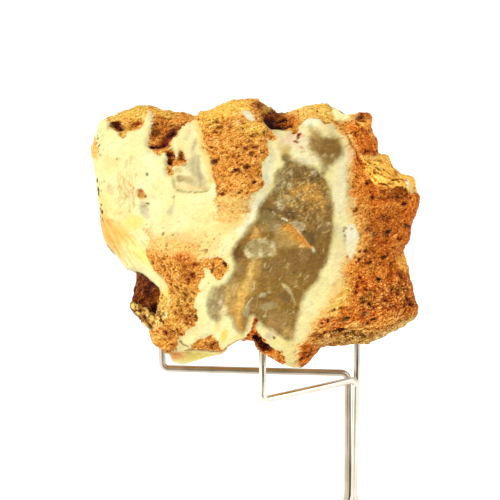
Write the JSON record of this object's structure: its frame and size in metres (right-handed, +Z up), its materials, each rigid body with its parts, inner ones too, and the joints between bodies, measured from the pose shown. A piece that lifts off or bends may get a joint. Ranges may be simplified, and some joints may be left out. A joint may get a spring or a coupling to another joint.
{
  "type": "flint",
  "caption": "Flint lump with a grey-brown core, cream rim and orange crust, resting on the upright tips of a bent-wire display stand.",
  "frame": {"origin": "middle of the bounding box, on the surface that the stand's feet lie on", "axes": "+Z up, the stone's broken face towards -Y, +X to the right of someone who looks at that face"},
  "size_m": [0.1682, 0.0998, 0.1737],
  "materials": {
    "flint_stone": "glossy broken flint, dull smooth cream rim, rough orange crust",
    "left_metal": "polished nickel plate",
    "front_metal": "polished nickel plate",
    "right_metal": "polished nickel plate"
  },
  "bodies": {
    "root": {"flint": "flint_stone", "left_wire": "left_metal", "front_wire": "front_metal", "right_wire": "right_metal"}
  },
  "joints": []
}
